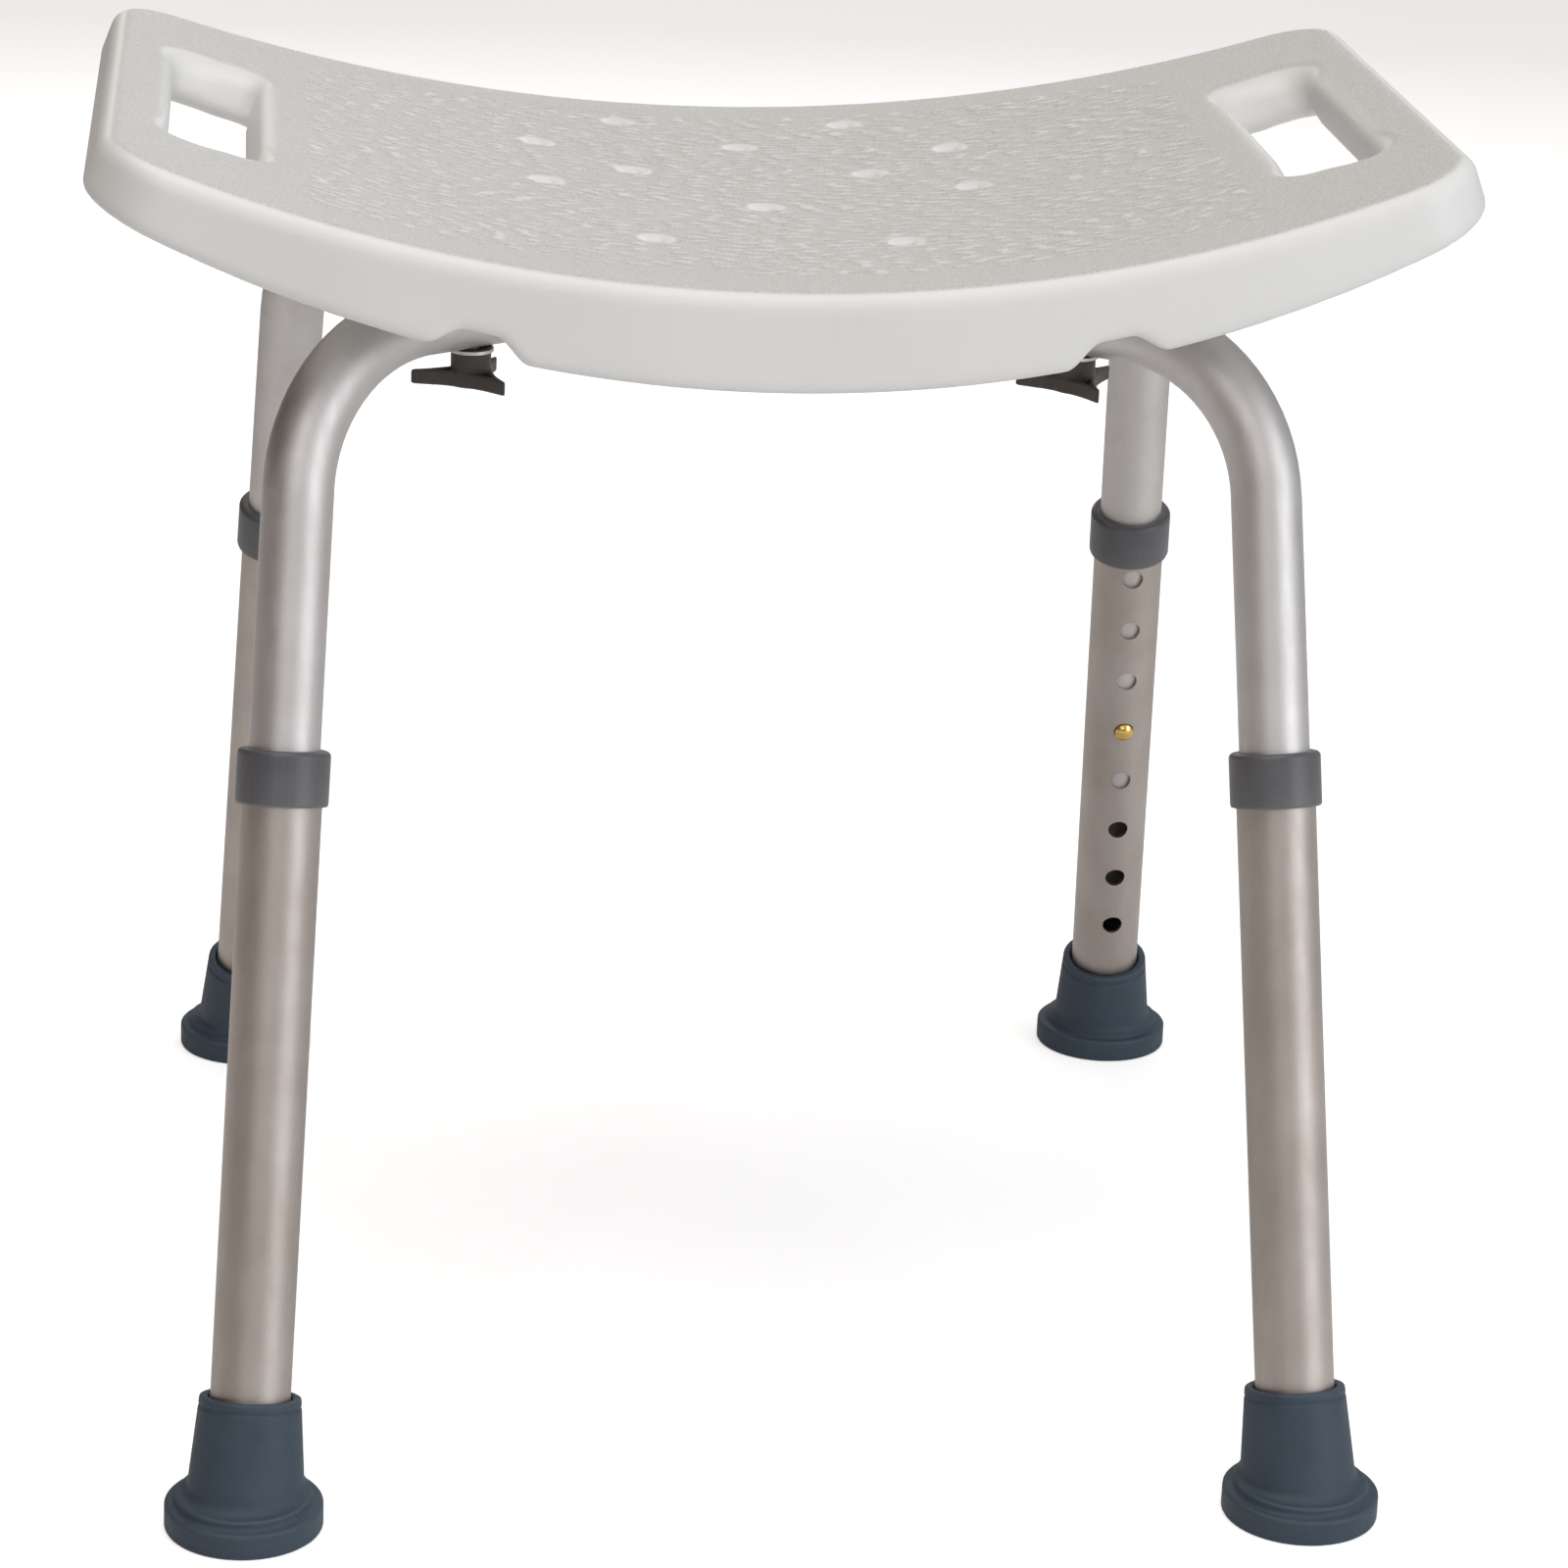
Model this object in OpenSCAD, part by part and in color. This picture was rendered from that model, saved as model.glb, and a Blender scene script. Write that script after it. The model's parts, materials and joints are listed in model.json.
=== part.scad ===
// Height-adjustable shower stool: curved hollow seat on two crossed tube frames with four telescoping legs.
// Units are millimetres. +X is to the right seen from the front, +Y to the back, +Z up.
// The origin is on the floor under the centre of the seat.

/* [Seat] */
// Height of the seat surface at its lowest point
seat_z = 434; // [430:0.5:440]
// Radius of the curved seat surface
seat_r = 674; // [640:1:720]
// Half of the seat's width, measured along the curve
seat_half_w = 245.5; // [240:0.5:252]
// Half of the seat's depth at its ends
seat_half_d = 140; // [134:1:146]
// Extra half depth at the middle of the long edges
seat_bow = 22; // [16:1:26]
// Corner radius of the seat in plan
seat_corner = 26; // [20:1:32]
// Thickness of the seat panel
panel_t = 20; // [18:0.5:21]
// Depth of the skirt at the seat's ends
skirt_end = 22; // [21.5:0.5:24]
// Depth of the skirt at the middle of the long edges
skirt_mid = 36; // [32:0.5:38]
// Wall thickness of the hollow seat
seat_wall = 2.8; // [2.2:0.1:3.2]
// Position of the finger arches in the skirts along the curve
arch_pos = 107; // [100:1:114]
// Depth of the finger arches
arch_depth = 8; // [6:0.5:9]

/* [Grips and drains] */
// Position of the hand grips along the curve
grip_pos = 204; // [200:1:206]
// Width and length of a grip opening at its underside
grip_low = [31, 132]; // [24:1:140]
// Width and length of a grip opening at the seat surface
grip_top = [34, 152]; // [30:1:156]
// Radius of the drain holes
drain_r = 2.5; // [2:0.1:3]
// Radius of the smooth dimple around a drain hole
dimple_r = 7; // [6:0.2:8]

/* [Frames] */
// Outer diameter of the frame tubes
tube_d = 25.4; // [25:0.1:25.4]
// Wall thickness of the frame tubes
tube_wall = 1.3; // [1.1:0.1:1.6]
// Height of the frame tubes' horizontal centre line
frame_z = 405.5; // [405:0.5:406]
// Bend radius at the tubes' centre line
bend_r = 63.5; // [60:0.5:66]
// Length along the leg axis from the floor to the frame tube's lower end
tube_end = 137; // [130:1:140]

/* [Legs] */
// Foot position on the floor, half distance in X
foot_x = 190.5; // [188:0.5:193]
// Foot position on the floor, half distance in Y
foot_y = 226.5; // [224:0.5:229]
// Sideways rise of a leg per unit of height, in X
lean_x = 0.0515; // [0.045:0.0005:0.058]
// Sideways rise of a leg per unit of height, in Y
lean_y = 0.2667; // [0.255:0.0005:0.275]
// Outer diameter of the leg tubes
leg_d = 28.6; // [28.6:0.1:29]
// Gap between a frame tube and its leg tube, on the radius
slide_gap = 0.09; // [0.05:0.01:0.1]
// Number of height holes
hole_n = 8; // [7:1:8]
// Distance between height holes
hole_pitch = 25.4; // [25:0.1:25.4]
// Distance along the leg from the floor to the top hole
hole_top = 250.5; // [249:0.5:252]
// Height hole that the button rests in, counted from the top
hole_now = 4; // [4:1:4]
// Diameter of the height holes
hole_d = 8.4; // [8.3:0.1:8.8]
// Lower end of the leg tubes along the leg axis
leg_low = 14; // [13.5:0.5:15]
// Upper end of the leg tubes along the leg axis
leg_high = 274; // [273:0.5:280]

/* [Collars and feet] */
// Outer diameter of the collars
collar_d = 33; // [32.6:0.1:34]
// Height of the collars
collar_h = 19.5; // [18:0.5:21]
// Radius of the foot flange
foot_r = 28.2; // [27:0.1:29]
// Height of the foot flange
foot_flange = 12.5; // [12:0.5:13]
// Length of the foot along the leg axis
foot_h = 46; // [44:0.5:48]

/* [Fixings] */
// Distance of each knob from the centre in X
knob_x = 110; // [108:0.5:112]
// Radius of the knob hub
hub_r = 7.3; // [7:0.1:7.6]
// Reach of the knob's three corners
knob_reach = 22; // [20:0.5:23]
// Height of the knob below the frame tube
knob_h = 13.6; // [12.6:0.2:14.6]
// Radius of the threaded studs
stud_r = 3; // [3:0.05:3]

/* [Hidden] */
$fn = 64;

tube_r = tube_d / 2;
bore_r = tube_r - tube_wall;
leg_r = leg_d / 2;
leg_bore = tube_r + slide_gap;
centre_z = seat_z + seat_r;

// Leg axis of the rear right leg, pointing up, and the tilts that bring +Z onto it
leg_dir = [-lean_x, -lean_y, 1] / norm([lean_x, lean_y, 1]);
tilt_x = asin(-leg_dir[1]);
tilt_y = asin(leg_dir[0] / cos(tilt_x));
foot_point = [foot_x, foot_y, 0];

// Corner of the frame's centre line, and the start and end of its bend
corner_point = foot_point + leg_dir * frame_z / leg_dir[2];
flat_dir = -[corner_point[0], corner_point[1], 0] / norm([corner_point[0], corner_point[1]]);
bend_a = acos(leg_dir * flat_dir);
bend_t = bend_r * tan(bend_a / 2);
bend_low = corner_point - leg_dir * bend_t;
bend_in = (flat_dir - leg_dir * (flat_dir * leg_dir)) / norm(flat_dir - leg_dir * (flat_dir * leg_dir));
bend_mid = bend_low + bend_in * bend_r;
bend_axis = cross(-bend_in, leg_dir);
flat_len = norm([corner_point[0], corner_point[1]]) - bend_t;
flat_turn = atan2(corner_point[1], corner_point[0]);
knob_y = knob_x * tan(flat_turn);

// Flattened crossing of the two frame tubes
flat_half = 20;
flat_blend = 24;
flat_h = 12.5;
flat_w = 33;

// Laps where two stretches of tube meet, and the small steps in radius there
bend_lap = 2;
bend_step = 0.06;
press_lap = 0.1;
press_step = 0.12;

button_z = hole_top - (hole_now - 1) * hole_pitch;
collar_low = leg_high - collar_h + 2.4;
tube_low_z = frame_z - tube_r;
washer_t = 1.2;
knob_low = tube_low_z - knob_h;
insert_low = 419;
insert_len = 13;

drains = [
  [45, 117], [80, 62], [0, 78], [45, 28], [80, -6], [0, -26], [45, -85],
  [-45, 117], [-80, 62], [-45, 28], [-80, -6], [-45, -85]
];
corner_signs = [[1, 1], [-1, 1], [1, -1], [-1, -1]];

// Steps of the seat's outline along the curve: rounded corners outside, even steps between
corner_steps = 7;
side_steps = 52;

function blend(t) = t <= 0 ? 0 : t >= 1 ? 1 : t * t * (3 - 2 * t);

function arch(s) = arch_depth * (1 - blend((abs(abs(s) - arch_pos) - 5) / 13));

function skirt(s) = skirt_end + (skirt_mid - skirt_end) * (1 - pow(s / seat_half_w, 2)) - arch(s);

function edge_y(s) = seat_half_d + seat_bow * (1 - pow(s / seat_half_w, 2));

function station(i, inset) =
  let (rc = max(seat_corner - inset, 1), flat = seat_half_w - inset - rc)
  i < corner_steps ? -(flat + rc * cos(90 * i / corner_steps)) :
  i > corner_steps + side_steps ? flat + rc * sin(90 * (i - corner_steps - side_steps) / corner_steps) :
  flat * (2 * (i - corner_steps) / side_steps - 1);

function station_y(s, inset) =
  let (rc = max(seat_corner - inset, 1), past = max(abs(s) - (seat_half_w - inset - rc), 0))
  edge_y(s) - inset - rc + sqrt(max(rc * rc - past * past, 0));

// Depth of a ring point below the seat surface: from the top, from the skirt's edge or from the underside
function drop(s, mode, v) = mode == 0 ? v : mode == 1 ? skirt(s) - v : panel_t + v;

function curve_point(s, y, depth) =
  let (a = s / seat_r * 180 / PI, r = seat_r + depth)
  [r * sin(a), y, centre_z - r * cos(a)];

// One closed ring of the seat: front edge from left to right, then back edge from right to left
function ring(inset, mode, v) = let (n = 2 * corner_steps + side_steps) concat(
  [for (i = [0 : n]) let (s = station(i, inset))
    curve_point(s, -station_y(s, inset), drop(s, mode, v))],
  [for (j = [0 : n]) let (s = station(n - j, inset))
    curve_point(s, station_y(s, inset), drop(s, mode, v))]
);

// Closed solid through a list of rings from the top to the underside
module ring_solid(rows) {
  m = 2 * corner_steps + side_steps + 1;
  n = 2 * m;
  last = (len(rows) - 1) * n;
  points = [for (row = rows) each ring(row[0], row[1], row[2])];
  sides = [for (k = [0 : len(rows) - 2], i = [0 : n - 1])
    let (a = k * n + i, b = k * n + (i + 1) % n)
    each [[a, b, b + n], [a, b + n, a + n]]];
  top = [for (i = [0 : m - 2]) each [[i, n - 1 - i, n - 2 - i], [i, n - 2 - i, i + 1]]];
  low = [for (i = [0 : m - 2])
    each [[last + i, last + n - 2 - i, last + n - 1 - i], [last + i, last + i + 1, last + n - 2 - i]]];
  polyhedron(points, concat(sides, top, low), convexity = 6);
}

// Places children on the seat surface at a distance s along the curve, +Z pointing out of the surface
module on_seat(s, y) {
  translate([0, y, centre_z])
    rotate([0, -s / seat_r * 180 / PI, 0])
      translate([0, 0, -seat_r])
        children();
}

module at_corner(sx, sy) {
  mirror([sx < 0 ? 1 : 0, 0, 0])
    mirror([0, sy < 0 ? 1 : 0, 0])
      children();
}

// Leg frame: origin on the floor, +Z up the leg, -Y towards the height holes
module on_leg(sx, sy) {
  at_corner(sx, sy)
    translate(foot_point)
      rotate([tilt_x, tilt_y, 0])
        children();
}

module at_knob(sx, sy) {
  translate([sx * knob_x, sy * knob_y, 0])
    children();
}

module pad(size, r, h) {
  linear_extrude(height = h)
    union() {
      square([size[0] - 2 * r, size[1]], center = true);
      square([size[0], size[1] - 2 * r], center = true);
      for (x = [-1, 1], y = [-1, 1])
        translate([x * (size[0] / 2 - r), y * (size[1] / 2 - r)])
          circle(r = r, $fn = 32);
    }
}

module grip_cut(grow) {
  hull() {
    translate([0, 0, 0.5])
      pad([grip_top[0] + 2 * grow, grip_top[1] + 2 * grow], 9 + grow, 1);
    translate([0, 0, -skirt_mid])
      pad([grip_low[0] + 2 * grow, grip_low[1] + 2 * grow], 7 + grow, skirt_mid - 17);
  }
}

module seat_shell() {
  ring_solid([
    [10, 0, 0], [6.2, 0, 0.8], [2.9, 0, 2.9], [0.8, 0, 6.2], [0, 0, 10],
    [0, 1, 5], [0.7, 1, 2.5], [2.5, 1, 0.7], [5, 1, 0], [10.5, 1, 0],
    [13.5, 1, 1.2], [15, 1, 1.8], [17, 2, 0.8], [20, 2, 0]
  ]);
}

module seat_hollow() {
  w = seat_wall;
  ring_solid([
    [11, 0, w], [6, 0, w + 1.7], [w, 0, w + 7],
    [w, 1, w + 4], [w + 2.5, 1, w], [11, 1, w],
    [13.4, 1, w + 2], [18, 2, -w]
  ]);
}

module frame_axis(r) {
  rotate([0, 0, flat_turn])
    rotate([0, 90, 0])
      cylinder(r = r, h = 2 * flat_len + 40, center = true);
}

// Recess in the underside that clears the flattened crossing
module cross_recess(grow) {
  translate([0, 0, 400])
    rotate([0, 0, flat_turn])
      linear_extrude(height = frame_z + tube_r + 0.4 + grow - 400)
        square([2 * (flat_half + flat_blend) + 4 + 2 * grow, flat_w + 2.6 + 2 * grow], center = true);
}

module seat_pillars() {
  for (d = drains)
    on_seat(d[0], d[1])
      translate([0, 0, -40])
        cylinder(r = drain_r + seat_wall, h = 45);
  for (d = drains)
    on_seat(d[0], d[1])
      translate([0, 0, -5.6])
        cylinder(r1 = drain_r + seat_wall, r2 = dimple_r + seat_wall, h = 5.6);
  for (c = corner_signs)
    at_knob(c[0], c[1])
      translate([0, 0, 400])
        cylinder(r = 9, h = 60);
  for (side = [-1, 1])
    on_seat(side * grip_pos, 0)
      grip_cut(seat_wall);
  translate([0, 0, 400])
    cylinder(r = 13, h = 27);
  for (side = [0, 1])
    mirror([side, 0, 0])
      translate([0, 0, frame_z])
        frame_axis(tube_r + 0.2 + seat_wall);
  cross_recess(seat_wall);
}

module seat() {
  color("gainsboro")
    difference() {
      union() {
        difference() {
          seat_shell();
          difference() {
            seat_hollow();
            seat_pillars();
          }
        }
        for (c = corner_signs)
          at_knob(c[0], c[1])
            translate([0, 0, 409])
              cylinder(r = 14, h = 17);
      }
      for (side = [0, 1])
        mirror([side, 0, 0])
          translate([0, 0, frame_z])
            frame_axis(tube_r + 0.2);
      cross_recess(0);
      for (side = [-1, 1])
        on_seat(side * grip_pos, 0)
          grip_cut(0);
      for (d = drains)
        on_seat(d[0], d[1]) {
          translate([0, 0, -40])
            cylinder(r = drain_r, h = 45);
          translate([0, 0, -2.8])
            cylinder(r1 = drain_r, r2 = dimple_r, h = 2.9);
        }
      for (c = corner_signs)
        at_knob(c[0], c[1]) {
          translate([0, 0, 405])
            cylinder(r = 4.5, h = insert_low + insert_len - 405);
          translate([0, 0, 405])
            cylinder(r = stud_r + 0.6, h = 32);
        }
      translate([0, 0, 400])
        cylinder(r = 10, h = 23.5);
      translate([0, 60, 400])
        cylinder(r = 1.5, h = 25);
    }
}

module insert(sx, sy) {
  color("goldenrod")
    at_knob(sx, sy)
      translate([0, 0, insert_low])
        difference() {
          union() {
            cylinder(r = 4.45, h = insert_len - 0.2);
            cylinder(r = 4.5, h = 3);
            translate([0, 0, 9])
              cylinder(r = 4.5, h = 3);
          }
          translate([0, 0, -1])
            cylinder(r = stud_r + 0.08, h = insert_len + 2);
        }
}

// Solid along one half of a frame's centre line, from the leg end to the flattened crossing
module half_path(r, down) {
  translate(foot_point + leg_dir * (tube_end - down))
    rotate([tilt_x, tilt_y, 0])
      cylinder(r = r, h = norm(bend_low - foot_point) - tube_end + down);
  multmatrix([
    [-bend_in[0], leg_dir[0], bend_axis[0], bend_mid[0]],
    [-bend_in[1], leg_dir[1], bend_axis[1], bend_mid[1]],
    [-bend_in[2], leg_dir[2], bend_axis[2], bend_mid[2]],
    [0, 0, 0, 1]
  ])
    rotate([0, 0, -bend_lap])
      rotate_extrude(angle = bend_a + 2 * bend_lap)
        translate([bend_r, 0])
          circle(r = r - bend_step);
  translate([0, 0, frame_z])
    rotate([0, 0, flat_turn])
      translate([flat_half + flat_blend - press_lap, 0, 0])
        rotate([0, 90, 0])
          cylinder(r = r, h = flat_len - flat_half - flat_blend + press_lap);
}

// Flattened middle of a tube, pressed up or down to one side of the centre line
module pressed_middle(up, grow) {
  h = flat_h - 2 * grow;
  w = flat_w - 2 * grow;
  z = up * (tube_r - flat_h / 2);
  translate([0, 0, frame_z])
    rotate([0, 0, flat_turn]) {
      translate([0, 0, z])
        rotate([90, 0, 90])
          linear_extrude(height = 2 * flat_half + 4 * press_lap, center = true)
            pill(w, h);
      for (side = [-1, 1])
        hull() {
          translate([side * (flat_half + 0.05), 0, z])
            rotate([90, 0, 90])
              linear_extrude(height = 0.1, center = true)
                pill(w + 2 * press_step, h + 2 * press_step, 32);
          translate([side * (flat_half + flat_blend - 0.05), 0, 0])
            rotate([0, 90, 0])
              cylinder(r = tube_r - grow + press_step, h = 0.1, center = true, $fn = 48);
        }
    }
}

module pill(w, h, fn = 64) {
  union() {
    square([w - h, h], center = true);
    for (side = [-1, 1])
      translate([side * (w - h) / 2, 0])
        circle(r = h / 2, $fn = fn);
  }
}

module frame(up) {
  difference() {
    union() {
      for (turn = [0, 180])
        rotate([0, 0, turn])
          half_path(tube_r, 0);
      pressed_middle(up, 0);
    }
    for (turn = [0, 180])
      rotate([0, 0, turn])
        half_path(bore_r, 1);
    pressed_middle(up, tube_wall);
    for (turn = [0, 180])
      rotate([0, 0, turn]) {
        at_knob(1, 1)
          translate([0, 0, frame_z - 20])
            cylinder(r = stud_r + 0.4, h = 40);
        on_leg(1, 1)
          translate([0, 0, button_z])
            rotate([90, 0, 0])
              cylinder(r = hole_d / 2, h = 20);
      }
    translate([0, 0, frame_z - 20])
      cylinder(r = 3.2, h = 40);
  }
}

module frame_a() {
  color("silver")
    frame(1);
}

module frame_b() {
  color("silver")
    mirror([1, 0, 0])
      frame(-1);
}

module cross_bolt() {
  color("lightgray")
    translate([0, 0, frame_z]) {
      translate([0, 0, -tube_r - 8])
        cylinder(r = 3, h = 2 * tube_r + 9);
      translate([0, 0, tube_r + 0.05])
        cylinder(r1 = 7, r2 = 5.2, h = 3.2);
    }
}

module cross_washer() {
  color("lightgray")
    translate([0, 0, frame_z - tube_r - 1.3])
      difference() {
        cylinder(r = 7.5, h = 1.2);
        translate([0, 0, -1])
          cylinder(r = 3.1, h = 4);
      }
}

module cross_nut() {
  color("lightgray")
    translate([0, 0, frame_z - tube_r - 7.4])
      difference() {
        union() {
          cylinder(r = 5.8, h = 4.4, $fn = 6);
          translate([0, 0, 4.3])
            cylinder(r = 6.6, h = 1.7);
        }
        translate([0, 0, -1])
          cylinder(r = 3.06, h = 9);
      }
}

// Outline of the three-cornered knob, a band with sides that curve inwards
module knob_outline(grow) {
  difference() {
    hull()
      for (a = [90, 210, 330])
        rotate(a)
          translate([knob_reach - 4, 0])
            circle(r = 4 + grow, $fn = 32);
    for (a = [30, 150, 270])
      rotate(a)
        translate([56, 0])
          circle(r = 48.5 - grow, $fn = 96);
  }
}

module knob(sx, sy) {
  color("dimgray")
    at_knob(sx, sy)
      translate([0, 0, knob_low])
        rotate([0, 0, sx * sy > 0 ? 92 : 75])
          difference() {
            union() {
              cylinder(r = hub_r, h = knob_h - washer_t - 0.1);
              linear_extrude(height = 5.4)
                difference() {
                  knob_outline(0);
                  knob_outline(-2);
                }
              intersection() {
                for (a = [90, 210, 330])
                  rotate(a)
                    translate([0, -1.1, 0])
                      cube([knob_reach - 2, 2.2, 4]);
                linear_extrude(height = 6)
                  knob_outline(-1);
              }
            }
            translate([0, 0, 2])
              cylinder(r = stud_r, h = 20);
          }
}

module stud(sx, sy) {
  color("lightgray")
    at_knob(sx, sy)
      translate([0, 0, knob_low + 2])
        cylinder(r = stud_r, h = insert_low + insert_len - 1 - knob_low - 2);
}

module knob_washer(sx, sy) {
  color("lightgray")
    at_knob(sx, sy)
      translate([0, 0, tube_low_z - washer_t - 0.05])
        difference() {
          cylinder(r = 8.2, h = washer_t);
          translate([0, 0, -1])
            cylinder(r = stud_r + 0.08, h = 4);
        }
}

module leg(sx, sy) {
  color("silver")
    on_leg(sx, sy)
      difference() {
        translate([0, 0, leg_low])
          cylinder(r = leg_r, h = leg_high - leg_low);
        translate([0, 0, leg_low - 1])
          cylinder(r = leg_bore, h = leg_high - leg_low + 2);
        for (k = [0 : hole_n - 1])
          translate([0, 0, hole_top - k * hole_pitch])
            rotate([90, 0, 0])
              cylinder(r = hole_d / 2, h = 20);
      }
}

module collar(sx, sy) {
  color("gray")
    on_leg(sx, sy)
      translate([0, 0, collar_low])
        difference() {
          rotate_extrude()
            difference() {
              square([collar_d / 2, collar_h]);
              translate([collar_d / 2 - 2, collar_h - 2])
                difference() {
                  square([3, 3]);
                  circle(r = 2);
                }
              polygon([
                [collar_d / 2 - 0.6, -1], [collar_d / 2 + 1, -1], [collar_d / 2 + 1, 1], [collar_d / 2, 0.9]
              ]);
            }
          translate([0, 0, -1])
            cylinder(r = leg_bore + 0.01, h = collar_h + 2);
          translate([0, 0, -1])
            cylinder(r = leg_r + 0.03, h = leg_high - collar_low + 1.03);
        }
}

module button(sx, sy) {
  color("darkgoldenrod")
    on_leg(sx, sy)
      translate([0, 0, button_z])
        rotate([90, 0, 0]) {
          translate([0, 0, 9.1])
            cylinder(r = 4.7, h = 1);
          translate([0, 0, 10])
            cylinder(r = 3.95, h = 4.9);
          translate([0, 0, 14.9])
            intersection() {
              cylinder(r = 3.95, h = 3);
              translate([0, 0, -3.1])
                sphere(r = 5);
            }
        }
}

// Leaf spring folded at its lower end inside the frame tube
module spring(sx, sy) {
  color("lightsteelblue")
    on_leg(sx, sy)
      translate([-4, 0, button_z])
        rotate([90, 0, 90])
          linear_extrude(height = 8)
            polygon([
              [-9, 7], [-8.45, 7], [-8.45, 2], [-3, -24], [0.2, -28], [3.6, -24], [9.6, 10], [9.1, 10.1],
              [3.1, -23.8], [0.2, -27.4], [-2.5, -23.7], [-7.9, 2.1], [-7.9, 7.5], [-9, 7.5]
            ]);
}

module foot(sx, sy) {
  color("darkslategray")
    difference() {
      union() {
        at_corner(sx, sy)
          translate(foot_point)
            rotate_extrude()
              polygon([
                [0, 0], [26.4, 0], [27.6, 0.5], [foot_r, 2], [foot_r, 9.6], [27.6, 11.4],
                [26, foot_flange], [22, foot_flange + 0.9], [20, 14.6], [0, 16]
              ]);
        on_leg(sx, sy)
          translate([0, 0, 8])
            rotate_extrude()
              polygon([
                [0, 0], [19, 0], [21.2, 5], [20.2, 9], [19.4, foot_h - 16], [18.3, foot_h - 13.4],
                [18.3, foot_h - 9.2], [17.7, foot_h - 8], [0, foot_h - 8]
              ]);
      }
      on_leg(sx, sy)
        translate([0, 0, leg_low - 2.1])
          cylinder(r = leg_r + 0.03, h = 60);
      at_corner(sx, sy)
        translate(foot_point)
          translate([0, 0, -1])
            for (r = [9, 15, 21])
              difference() {
                cylinder(r = r + 2.2, h = 2.6);
                translate([0, 0, -1])
                  cylinder(r = r, h = 5);
              }
      at_corner(sx, sy)
        translate(foot_point)
          translate([0, 0, -30])
            cylinder(r = 60, h = 30);
    }
}

module foot_washer(sx, sy) {
  color("lightgray")
    on_leg(sx, sy)
      translate([0, 0, leg_low - 2.05])
        difference() {
          cylinder(r = leg_r - 0.1, h = 2);
          translate([0, 0, -1])
            cylinder(r = 5, h = 4);
        }
}

module insert_fl() { insert(-1, -1); }
module insert_fr() { insert(1, -1); }
module insert_rl() { insert(-1, 1); }
module insert_rr() { insert(1, 1); }
module knob_fl() { knob(-1, -1); }
module knob_fr() { knob(1, -1); }
module knob_rl() { knob(-1, 1); }
module knob_rr() { knob(1, 1); }
module stud_fl() { stud(-1, -1); }
module stud_fr() { stud(1, -1); }
module stud_rl() { stud(-1, 1); }
module stud_rr() { stud(1, 1); }
module knob_washer_fl() { knob_washer(-1, -1); }
module knob_washer_fr() { knob_washer(1, -1); }
module knob_washer_rl() { knob_washer(-1, 1); }
module knob_washer_rr() { knob_washer(1, 1); }
module leg_fl() { leg(-1, -1); }
module leg_fr() { leg(1, -1); }
module leg_rl() { leg(-1, 1); }
module leg_rr() { leg(1, 1); }
module collar_fl() { collar(-1, -1); }
module collar_fr() { collar(1, -1); }
module collar_rl() { collar(-1, 1); }
module collar_rr() { collar(1, 1); }
module button_fl() { button(-1, -1); }
module button_fr() { button(1, -1); }
module button_rl() { button(-1, 1); }
module button_rr() { button(1, 1); }
module spring_fl() { spring(-1, -1); }
module spring_fr() { spring(1, -1); }
module spring_rl() { spring(-1, 1); }
module spring_rr() { spring(1, 1); }
module foot_fl() { foot(-1, -1); }
module foot_fr() { foot(1, -1); }
module foot_rl() { foot(-1, 1); }
module foot_rr() { foot(1, 1); }
module foot_washer_fl() { foot_washer(-1, -1); }
module foot_washer_fr() { foot_washer(1, -1); }
module foot_washer_rl() { foot_washer(-1, 1); }
module foot_washer_rr() { foot_washer(1, 1); }

seat();
insert_fl();
insert_fr();
insert_rl();
insert_rr();
frame_a();
frame_b();
cross_bolt();
cross_washer();
cross_nut();
knob_fl();
knob_fr();
knob_rl();
knob_rr();
stud_fl();
stud_fr();
stud_rl();
stud_rr();
knob_washer_fl();
knob_washer_fr();
knob_washer_rl();
knob_washer_rr();
leg_fl();
leg_fr();
leg_rl();
leg_rr();
collar_fl();
collar_fr();
collar_rl();
collar_rr();
button_fl();
button_fr();
button_rl();
button_rr();
spring_fl();
spring_fr();
spring_rl();
spring_rr();
foot_fl();
foot_fr();
foot_rl();
foot_rr();
foot_washer_fl();
foot_washer_fr();
foot_washer_rl();
foot_washer_rr();
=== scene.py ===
import bpy
import json
import math

import numpy as np
from mathutils import Matrix, Vector


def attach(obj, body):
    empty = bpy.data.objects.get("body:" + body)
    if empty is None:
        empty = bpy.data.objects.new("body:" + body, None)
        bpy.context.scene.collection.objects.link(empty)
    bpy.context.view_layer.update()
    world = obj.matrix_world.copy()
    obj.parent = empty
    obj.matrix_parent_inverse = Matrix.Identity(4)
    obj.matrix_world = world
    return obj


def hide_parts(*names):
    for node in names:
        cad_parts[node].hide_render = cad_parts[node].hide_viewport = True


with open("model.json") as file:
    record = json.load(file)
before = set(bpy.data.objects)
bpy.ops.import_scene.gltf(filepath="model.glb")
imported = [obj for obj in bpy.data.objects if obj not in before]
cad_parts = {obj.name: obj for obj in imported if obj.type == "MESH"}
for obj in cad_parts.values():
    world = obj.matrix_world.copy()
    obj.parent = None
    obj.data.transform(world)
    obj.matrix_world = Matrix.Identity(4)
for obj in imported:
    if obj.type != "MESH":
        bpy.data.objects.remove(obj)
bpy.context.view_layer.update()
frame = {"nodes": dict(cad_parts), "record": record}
rng = np.random.default_rng(11)

MM = 0.001
CORNERS = {"fl": (-1, -1), "fr": (1, -1), "rl": (-1, 1), "rr": (1, 1)}

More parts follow.
